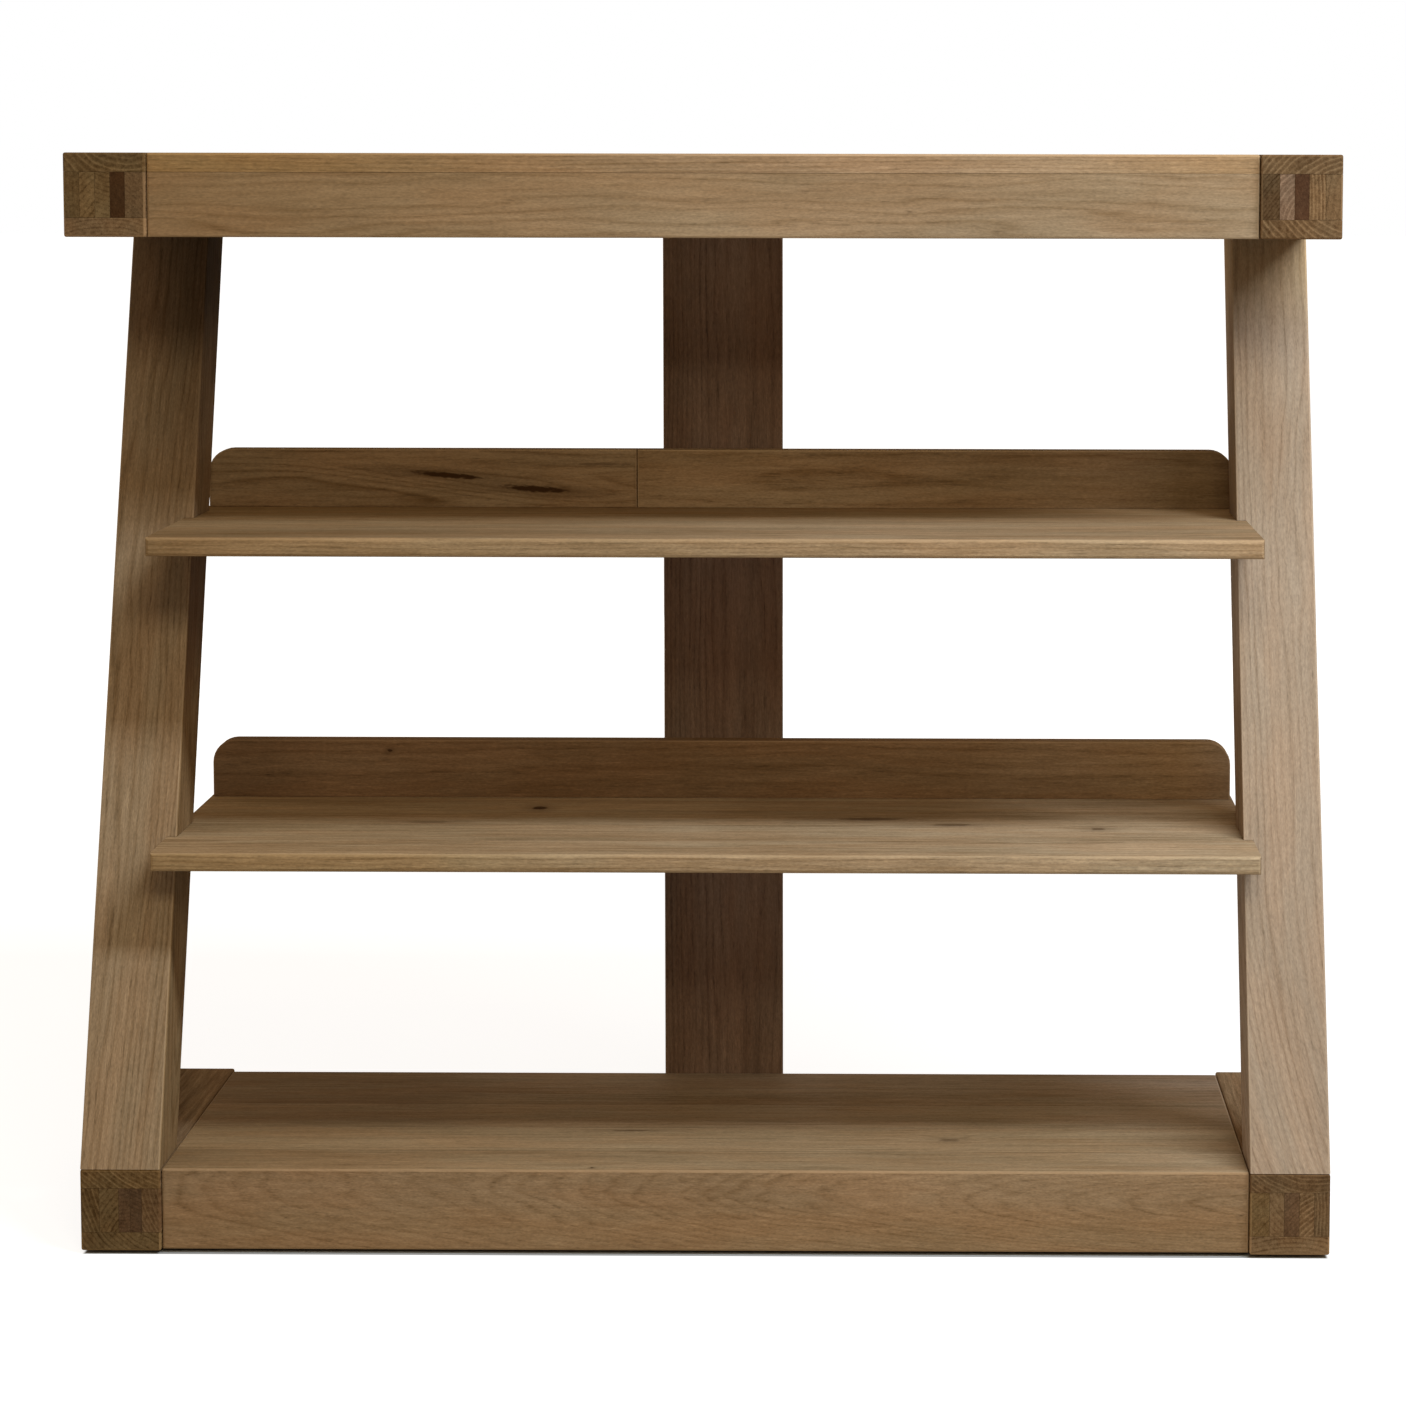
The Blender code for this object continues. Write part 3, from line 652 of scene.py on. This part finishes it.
# Shelves and the boards that stand on them
dress("lower_shelf", make_oak(
    "oak_lower_shelf", "straw", 1.14, pith=(0.0, -0.08, 0.25), ring_depth=0.55, fibre=1.4, patch=1.6,
    # Its front top edge is paler: wear and a painted highlight
    rub=0.2, worn=("yz", (shelf_front, lower_shelf_top), worn_reach),
    drifts=(
        # Painted light: darker and warmer on the left, paler and bluer on the right, on the top and the
        # front edge
        ("x", -0.40, 0.25, (0.92, 0.92, 0.87), (0.97, 1.03, 1.10)),
        (*front_band(shelf_front, edge_depths), [
            ("x", -0.28, -0.04, (0.94, 0.93, 0.86), (1.07, 1.09, 1.11)),
        ], [
            ("x", -0.02, 0.03, (1.02, 1.02, 1.02), (0.95, 0.93, 0.90)),
            ("x", 0.20, 0.28, plain_tint, (1.05, 1.06, 1.08)),
        ]),
    ),
    marks=(
        (-0.1526, 0.063, 0.0090, 0.0110, 0.95, 1.0, 0.0), (-0.238, -0.005, 0.026, 0.0070, 0.45, 1.0, 0.0),
        (0.131, 0.015, 0.038, 0.0085, 0.72, 1.0, 0.0), (0.200, -0.011, 0.026, 0.0075, 0.66, 1.0, 0.0),
        (0.320, -0.028, 0.0085, 0.0080, 0.70, 1.0, 0.0),
    ), mark_axes="xy",
    # Staves: their own tones, and painted light towards the back
    staves=((-0.087, 1.0), (-0.015, 1.06), (0.05, 1.05), (0.10, 1.04))))
dress("upper_shelf", make_oak(
    "oak_upper_shelf", "straw", 1.0, pith=(0.0, -0.08, 0.50), ring_depth=0.55, fibre=1.4, patch=1.6,
    # Its front top edge is paler: wear and a painted highlight
    rub=0.2, worn=("yz", (shelf_front, upper_shelf_top), worn_reach),
    drifts=(
        # Painted light: darker and warmer on the left, paler and bluer on the right
        ("x", -0.40, 0.20, (0.94, 0.90, 0.80), (1.12, 1.15, 1.19)),
        (*front_band(shelf_front, edge_depths), (0.96, 0.95, 0.93), [
            # Painted shade: darker and warmer towards the back, at the foot of the upstands
            ("y", -0.05, 0.09, (1.0, 0.98, 0.95), (0.94, 0.90, 0.80)),
        ]),
    ),
    # Staves: their own tones, with painted shade behind the front edge and painted light towards the back
    staves=((-0.139, 0.82), (-0.06, 1.08), (0.0, 1.15), (0.06, 1.13))))
dress("lower_upstand", make_oak(
    "oak_lower_upstand", "straw", (0.67, 0.65, 0.645), pith=(0.0, 0.20, 0.33), ring_depth=0.45, patch=1.3,
    drifts=(
        # Painted light and shade: brighter to the right, darker at the left end and at the foot
        ("x", -0.10, 0.40, (1.03, 0.96, 0.92), (1.30, 1.26, 1.22)),
        ("x", -0.41, -0.33, (0.80, 0.79, 0.79), plain_tint),
        ("z", 0.325, 0.362, (0.94, 0.93, 0.91), (1.06, 1.07, 1.08)),
        ("x", 0.10, 0.20, (1.02, 1.02, 1.02), (0.95, 0.94, 0.93)),
        ("x", 0.30, 0.38, plain_tint, (1.09, 1.11, 1.09)),
    ),
    marks=((-0.288, 0.363, 0.0030, 0.0018, 0.9, 1.0, 0.0),)))
dress("upper_upstand_left", make_oak(
    "oak_upper_upstand_left", "straw", (0.85, 0.82, 0.77), pith=(0.0, 0.19, 0.58), ring_depth=0.7,
    # Painted light: brighter towards the right
    fibre=1.4, patch=1.3, drifts=(("x", -0.150, -0.095, plain_tint, (1.11, 1.14, 1.18)),),
    marks=(
        (-0.236, 0.6035, 0.043, 0.0034, 1.0, 2.0, -0.09), (-0.160, 0.5918, 0.040, 0.0038, 1.0, 2.0, -0.07),
        (-0.102, 0.6134, 0.034, 0.0018, 0.50, 1.0, 0.0), (-0.0715, 0.598, 0.0018, 0.0300, 0.65, 0.0, 0.0),
    )))
dress("upper_upstand_right", make_oak(
    "oak_upper_upstand_right", "straw", 0.70, pith=(0.0, 0.19, 0.60), ring_depth=0.5, patch=1.2,
    drifts=(
        # Painted light and shadow: bright on the left, darker to the right, with the right post's painted
        # shadow at the right end
        ("x", 0.05, 0.38, (1.45, 1.43, 1.40), (0.95, 0.88, 0.78)),
        ("x", -0.07, -0.01, (0.89, 0.88, 0.85), (1.01, 1.01, 1.01)),
        ("x", 0.13, 0.20, plain_tint, [("z", 0.595, 0.617, (0.99, 0.98, 0.96), (1.12, 1.16, 1.24))]),
        ("x", 0.30, 0.36, plain_tint, (0.86, 0.85, 0.84)),
    )))

# Boards that run upwards
dress("right_post", make_oak(
    "oak_right_post", "silver", (0.91, 0.91, 0.92), pith=(0.30, -0.13, 0.07), along=up_the_posts,
    across=rightward, ring_width=0.0064, ring_depth=0.58, unrest=1.5, fibre=0.75, patch=0.7, specks=0.55,
    # Painted light: the top of the post, under the top rail, is brighter and warmer
    bend=(0.30, 0.8), drifts=(("z", 0.71, 0.80, plain_tint, (1.15, 1.06, 0.84)),)))
dress("left_post", make_oak(
    "oak_left_post", "straw", 0.85, pith=(-0.53, -0.11, 0.07), along=(0.045, up_the_posts[1], 1.0),
    across=(1.0, 0.0, -0.045), ring_width=0.0038, ring_depth=0.52, unrest=1.4, fibre=1.0, patch=0.7,
    drifts=(
        # Painted shade: darker towards the top, under the top and the upper shelf
        ("z", 0.38, 0.76, (1.17, 1.21, 1.27), (0.77, 0.77, 0.79)),
        # Painted shadow: darker towards the inner edge on the upper part
        ("z", 0.56, 0.71, plain_tint, [("x", -0.490, -0.440, (1.13, 1.14, 1.15), (0.70, 0.69, 0.67))]),
        # Painted shade on the inner face, darkest at the top
        ("x", post_inner - inner_depths[1], post_inner - inner_depths[0], plain_tint, [
            ("z", 0.555, 0.585, [("z", 0.40, 0.48, (0.79, 0.73, 0.60), (0.57, 0.49, 0.44))], [
                ("z", 0.70, 0.77, (1.22, 1.24, 1.28), (0.43, 0.39, 0.33)),
            ]),
        ]),
        # Painted shadow just above the upper shelf
        ("z", 0.560, 0.580, plain_tint, [("z", 0.60, 0.64, (0.92, 0.90, 0.85), plain_tint)]),
    )))
dress("back_stile", make_oak(
    "oak_back_stile", "smoke", (1.27, 1.36, 1.56), pith=(0.02, 0.22, 0.4), along=upward, across=rightward,
    ring_depth=0.5, fibre=0.9, patch=1.5, drifts=(
        (*front_band(stile_front, face_depths), [
            # Painted light and shade: in each bay the stile is brighter high up and darker low down
            ("z", 0.085, 0.16, (0.77, 0.73, 0.70), (1.10, 1.10, 1.11)),
            ("z", 0.25, 0.37, plain_tint, (0.72, 0.69, 0.66)),
            ("z", 0.385, 0.44, plain_tint, (1.43, 1.48, 1.55)),
            ("z", 0.54, 0.62, plain_tint, (0.64, 0.59, 0.55)),
            ("z", 0.645, 0.70, plain_tint, (1.39, 1.50, 1.58)),
            ("z", 0.70, 0.80, plain_tint, (1.33, 1.36, 1.34)),
            ("x", -0.050, -0.012, (0.90, 0.90, 0.88), (1.13, 1.13, 1.14)),
            ("x", 0.005, 0.032, plain_tint, (0.90, 0.89, 0.87)),
        ], plain_tint),
    )))

# Side rails, board by board: tone, shade of the end grain, pith, ring width, ring depth and pale lines
side_rail_boards = {
    ("top", "right"): {
        "top_board": ("umber", 0.78, (1.22, -0.02), 0.0040, 1.3, True),
        "bottom_board": ("umber", 0.80, (1.18, 0.86), 0.0040, 1.3, True),
        "core_1": ("umber", 0.47, (2.0, -1.0), 0.0026, 0.6, False),
        "core_2": ("smoke", 0.92, (0.85, 0.15), 0.0034, 1.2, True),
        "core_3": ("rust", 0.65, (3.0, 1.5), 0.0020, 0.2, False),
        "core_4": ("umber", 0.92, (-1.5, 0.4), 0.0030, 1.2, True),
        "core_5": ("umber", 0.73, (-2.5, 1.0), 0.0050, 0.35, False),
    },
    ("top", "left"): {
        "top_board": ("olive", 0.79, (0.75, 1.48), 0.0044, 1.3, True),
        "bottom_board": ("umber", 0.90, (0.5, -1.2), 0.0030, 0.7, False),
        "core_1": ("umber", 0.69, (-1.0, -1.5), 0.0030, 0.3, False),
        "core_2": ("heart", 1.08, (2.0, 1.0), 0.0024, 0.2, False),
        "core_3": ("olive", 0.88, (0.9, 1.8), 0.0036, 0.6, False),
        "core_4": ("olive", 0.96, (1.2, -0.3), 0.0040, 0.6, False),
        "core_5": ("olive", 0.80, (1.9, 0.5), 0.0030, 0.3, False),
    },
    ("base", "left"): {
        "top_board": ("olive", 1.08, (1.72, 2.67), 0.0034, 1.1, True),
        "bottom_board": ("olive", 0.90, (1.4, 1.06), 0.0038, 0.8, False),
        "core_1": ("umber", 0.85, (2.2, 1.0), 0.0030, 1.0, True),
        "core_2": ("russet", 0.67, (1.1, 1.6), 0.0030, 0.5, False),
        "core_3": ("russet", 0.88, (0.3, 1.9), 0.0030, 0.5, False),
        "core_4": ("olive", 0.86, (1.6, -0.4), 0.0036, 0.8, False),
        "core_5": ("olive", 0.85, (2.4, 1.2), 0.0034, 1.3, True),
    },
    ("base", "right"): {
        "top_board": ("umber", 0.81, (0.83, 1.79), 0.0034, 1.1, True),
        "bottom_board": ("umber", 1.07, (0.5, -1.6), 0.0036, 0.8, False),
        "core_1": ("olive", 0.96, (1.6, -0.8), 0.0028, 0.4, False),
        "core_2": ("umber", 1.00, (1.3, 1.4), 0.0040, 0.45, False),
        "core_3": ("russet", 0.96, (2.0, -1.0), 0.0026, 0.4, False),
        "core_4": ("umber", 1.15, (1.5, -0.5), 0.0034, 1.2, True),
        "core_5": ("umber", 0.76, (-2.6, 0.5), 0.0028, 1.3, True),
    },
}

# Painted light and shade on the upper faces of the base's side rails, behind the end grain: shade on the
# left, light on the right.
painted_light_behind_end = {
    "base_left_rail_top_board": (0.83, 0.87, 1.10),
    "base_right_rail_top_board": (1.27, 1.37, 1.55),
}


def dress_side_rail_board(node_name, corner_x, corner_z, grain):
    """Dress one board of a side rail.

    The corner is the lower left one of the rail's end, seen from the front, and the pith in the grain is
    measured from it, in shares of that end's width and height."""
    tone, shade, (share_x, share_z), ring_width, ring_depth, pale_lines = grain
    pith = (corner_x + share_x * block_width, 0.0, corner_z + share_z * block_height)
    drifts = ()
    if node_name in painted_light_behind_end:
        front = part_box(node_name)[0].y
        drifts = ((*front_band(front, face_depths), plain_tint, painted_light_behind_end[node_name]),)
    dress(node_name, make_oak(
        f"oak_{node_name}", tone, shade / end_light, pith=pith, along=backward, across=rightward,
        ring_width=ring_width, ring_depth=ring_depth, unrest=0.55, fibre=1.9, patch=1.3, drifts=drifts,
        pale_lines=pale_lines))


for (level, side), boards in side_rail_boards.items():
    corner_x = low_corner.x if side == "left" else high_corner.x - block_width
    corner_z = base_bottom if level == "base" else top_bottom
    for board, grain in boards.items():
        dress_side_rail_board(f"{level}_{side}_rail_{board}", corner_x, corner_z, grain)

# Dowels, cut from wood beside the pith
dowel_pith = (0.02, 0.01)
for name in nodes:
    if name.endswith("_dowel"):
        box_low, box_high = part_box(name)
        middle = (box_low + box_high) / 2
        pith = (middle.x + dowel_pith[0], middle.y + dowel_pith[1], middle.z)
        dress(name, make_oak(f"oak_{name}", "silver", 1.0, pith=pith, along=upward, across=rightward))


# Small pieces that aren't oak
def make_cloudy(name, first, second, rough, height, lumps, ragged=0.5, strokes=None, shine=None):
    """A cloud blends two colours. Strokes, or else the cloud, vary the roughness and the height in metres.

    Rough is (least roughness, what the strokes add to it), and shine holds other inputs of the shader."""
    material, tree = new_material(name)
    point = tree.add("ShaderNodeTexCoord", output="Object")
    cloud = tree.noise(point, lumps, detail=3.0, roughness=ragged)
    stroke = tree.noise(point, strokes) if strokes else cloud
    least_rough, more_rough = rough
    inputs = {
        "Base Color": tree.blend(cloud, first, second),
        "Roughness": tree.math("MULTIPLY_ADD", stroke, more_rough, least_rough),
        **(shine or {}),
    }
    finish_surface(tree, inputs, tree.math("MULTIPLY", stroke, height))
    return material


glue = make_cloudy(
    "dried_glue", (0.120, 0.072, 0.032, 1.0), (0.055, 0.032, 0.014, 1.0), rough=(0.45, 0.2), height=0.0001,
    lumps=(260.0, 260.0, 260.0), shine={"Specular IOR Level": 0.1})
steel = make_cloudy(
    "zinc_steel", (0.50, 0.49, 0.46, 1.0), (0.36, 0.35, 0.34, 1.0), rough=(0.22, 0.25), height=0.00001,
    lumps=(900.0, 900.0, 900.0), strokes=(300.0, 300.0, 9000.0), shine={"Metallic": 1.0})
felt = make_cloudy(
    "pressed_felt", (0.018, 0.016, 0.015, 1.0), (0.060, 0.055, 0.050, 1.0), rough=(0.88, 0.1),
    height=0.0002, lumps=(1800.0, 1800.0, 2600.0), ragged=0.7, shine={"Specular IOR Level": 0.2})
for name in nodes:
    if name.startswith("stile_screw_"):
        dress(name, steel)
    elif name.endswith("_glide"):
        dress(name, felt)


# Glue in joints: how far it lies under the surface, the same in a flush joint, its free room and its reach
glue_sink = 0.0004
flush_sink = 0.00003
glue_spare = 0.00002
glue_depth = 0.005


def add_film(shape, outline, axis, low, high):
    """A thin film between two planes across one axis. The outline is on the other two axes."""
    rings = []
    for level in (low, high):
        ring = []
        for first, second in outline:
            corner = [first, second]
            corner.insert(axis, level)
            ring.append(shape.verts.new(corner))
        rings.append(ring)
    shape.faces.new(rings[0])
    shape.faces.new(rings[1])
    for index in range(len(outline)):
        after = (index + 1) % len(outline)
        shape.faces.new((rings[0][index], rings[0][after], rings[1][after], rings[1][index]))


def add_glue_piece(name, shape, material):
    bmesh.ops.recalc_face_normals(shape, faces=shape.faces)
    mesh = bpy.data.meshes.new(name)
    shape.to_mesh(mesh)
    shape.free()
    mesh.materials.append(material)
    piece = bpy.data.objects.new(name, mesh)
    bpy.context.scene.collection.objects.link(piece)
    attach(piece, "root")


def make_glue_lines(level, side, material):
    """The glue lines of one side rail, as far in as they can be seen."""
    rail = f"{level}_{side}_rail"
    top_low, top_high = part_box(f"{rail}_top_board")
    bottom_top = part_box(f"{rail}_bottom_board")[1].z
    cores = sorted((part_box(f"{rail}_core_{number}") for number in range(1, 6)), key=lambda box: box[0].x)
    core_low, core_high = cores[0][0].z, cores[0][1].z
    front, back = top_low.y + glue_sink, top_high.y - glue_sink
    outer, inner = top_low.x + glue_sink, top_high.x - glue_sink
    band = glue_depth
    if side == "right":
        outer, inner = inner, outer
        band = -glue_depth
    outline = (
        (inner, front), (outer, front), (outer, back), (inner, back),
        (inner, back - glue_depth), (outer + band, back - glue_depth),
        (outer + band, front + glue_depth), (inner, front + glue_depth),
    )
    shape = bmesh.new()
    add_film(shape, outline, 2, bottom_top + glue_spare, core_low - glue_spare)
    add_film(shape, outline, 2, core_high + glue_spare, top_low.z - glue_spare)
    for (_, near), (far, _) in zip(cores, cores[1:]):
        for start, stop in ((front, front + glue_depth), (back - glue_depth, back)):
            outline = ((start, core_low), (stop, core_low), (stop, core_high), (start, core_high))
            add_film(shape, outline, 0, near.x + glue_spare, far.x - glue_spare)
    add_glue_piece(f"{rail}_glue_lines", shape, material)


def make_panel_joint(level, material):
    """The glued joint between a panel and the front rail under it, sanded flush."""
    panel_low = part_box(f"{level}_panel")[0]
    rail_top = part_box(f"{level}_front_rail")[1].z
    reach = high_corner.x - block_width - glue_sink
    front = panel_low.y + flush_sink
    back = front + glue_depth
    outline = ((-reach, front), (reach, front), (reach, back), (-reach, back))
    shape = bmesh.new()
    add_film(shape, outline, 2, rail_top + glue_spare, panel_low.z - glue_spare)
    add_glue_piece(f"{level}_panel_glue_line", shape, material)


for level, side in side_rail_boards:
    make_glue_lines(level, side, glue)
make_panel_joint("base", base_front_oak)

# Floor and background, white where they are seen. Near the bookcase the floor keeps its shadow, and under it
# the floor has a painted shadow.
floor_reach = 40.0
floor_lumps = (2.0, 2.0, 2.0)
floor_greys = (0.38, 0.42)
floor_glow = 0.86
shadow_reach = 1.3
painted_shadow_edge = 0.003
ambient = 0.32
ambient_colour = (1.0, 0.76, 0.51, 1.0)


def seen_directly(tree):
    """One for camera, mirror and see-through rays, and zero for rays that carry light."""
    path = tree.add("ShaderNodeLightPath", None, None)
    seen = tree.math("MAXIMUM", path["Is Camera Ray"], path["Is Glossy Ray"])
    return tree.math("MAXIMUM", seen, path["Is Transmission Ray"])


def make_floor():
    mesh = bpy.data.meshes.new("floor")
    corners = [(x * floor_reach, y * floor_reach, 0.0) for x, y in ((-1, -1), (1, -1), (1, 1), (-1, 1))]
    mesh.from_pydata(corners, [], [(0, 1, 2, 3)])
    floor = bpy.data.objects.new("floor", mesh)
    bpy.context.scene.collection.objects.link(floor)
    material, tree = new_material("pale_floor")
    mesh.materials.append(material)
    point = tree.add("ShaderNodeTexCoord", output="Object")
    mottle = tree.remap(tree.noise(point, floor_lumps), 0.0, 1.0, *floor_greys, "LINEAR")
    colour = tree.add("ShaderNodeCombineColor", {0: mottle, 1: mottle, 2: mottle})
    shaded = tree.add("ShaderNodeBsdfDiffuse", {"Color": colour})
    distance = tree.vector("LENGTH", point, output=1)
    glow = tree.remap(distance, shadow_reach, 2 * shadow_reach, floor_glow, 1.0)
    floor_x, floor_y, _ = tree.parts(point)
    # Painted shadow: under the bookcase's footprint the floor loses its glow, which shows as a dark line
    # under the base
    beside = tree.remap(tree.math("ABSOLUTE", floor_x), high_corner.x - painted_shadow_edge, high_corner.x)
    before = tree.remap(tree.math("ABSOLUTE", floor_y), high_corner.y - painted_shadow_edge, high_corner.y)
    glow = tree.math("MULTIPLY", glow, tree.math("MAXIMUM", beside, before))
    bright = tree.add("ShaderNodeEmission", {"Color": grey(1.0), "Strength": glow})
    glowing = tree.add("ShaderNodeAddShader", {0: shaded, 1: bright})
    seen = tree.add("ShaderNodeMixShader", {0: seen_directly(tree), 1: shaded, 2: glowing})
    tree.add("ShaderNodeOutputMaterial", {"Surface": seen}, None)


def make_world():
    world = bpy.data.worlds.new("studio")
    bpy.context.scene.world = world
    world.use_nodes = True
    world.node_tree.nodes.clear()
    tree = Tree(world.node_tree)
    soft = tree.add("ShaderNodeBackground", {"Color": ambient_colour, "Strength": ambient})
    white = tree.add("ShaderNodeBackground", {"Color": grey(1.0), "Strength": 1.0})
    mixed = tree.add("ShaderNodeMixShader", {0: seen_directly(tree), 1: soft, 2: white})
    tree.add("ShaderNodeOutputWorld", {"Surface": mixed}, None)


def make_lamp(name, place, target, size, power, colour):
    """A lamp of this width and height, turned to a target and not seen in reflections."""
    lamp = bpy.data.lights.new(name, "AREA")
    lamp.shape = "RECTANGLE"
    lamp.size, lamp.size_y = size
    lamp.energy = power
    lamp.color = colour
    item = bpy.data.objects.new(name, lamp)
    item.location = place
    item.visible_glossy = False
    item.rotation_euler = (Vector(target) - Vector(place)).to_track_quat("-Z", "Y").to_euler()
    bpy.context.scene.collection.objects.link(item)


def make_camera():
    data = bpy.data.cameras.new("camera")
    data.sensor_width = sensor_width
    data.lens = focal_length_px / photo_side * sensor_width
    data.shift_x = 0.5 - principal_x / photo_side
    data.shift_y = principal_y / photo_side - 0.5
    camera = bpy.data.objects.new("camera", data)
    forward = Vector((
        sin(camera_yaw) * cos(camera_pitch), cos(camera_yaw) * cos(camera_pitch), -sin(camera_pitch),
    ))
    level_right = Vector((cos(camera_yaw), -sin(camera_yaw), 0.0))
    level_up = level_right.cross(forward)
    right = level_right * cos(camera_roll) + level_up * sin(camera_roll)
    up = level_up * cos(camera_roll) - level_right * sin(camera_roll)
    turn = Matrix((right, up, -forward)).transposed()
    camera.matrix_world = Matrix.Translation(camera_place) @ turn.to_4x4()
    bpy.context.scene.collection.objects.link(camera)
    bpy.context.scene.camera = camera


make_floor()
make_world()
make_lamp("key", (1.2, -1.0, 2.0), (1.2, 0.0, 0.45), (1.6, 0.25), 52.0, (0.77, 0.885, 1.0))
make_lamp("front", (0.5, -3.2, 2.2), (0.5, 0.0, 0.5), (1.2, 0.6), 36.0, (1.0, 0.93, 0.72))
make_lamp("back", (0.0, 4.0, 0.5), (0.0, 0.0, 0.45), (1.5, 0.6), 25.0, (1.0, 0.95, 0.88))
make_lamp("left", (-3.2, 0.8, 0.06), (-0.5, 0.0, 0.45), (0.6, 0.08), 18.0, (1.0, 0.96, 0.88))
make_camera()
bpy.context.scene.view_settings.view_transform = "Standard"
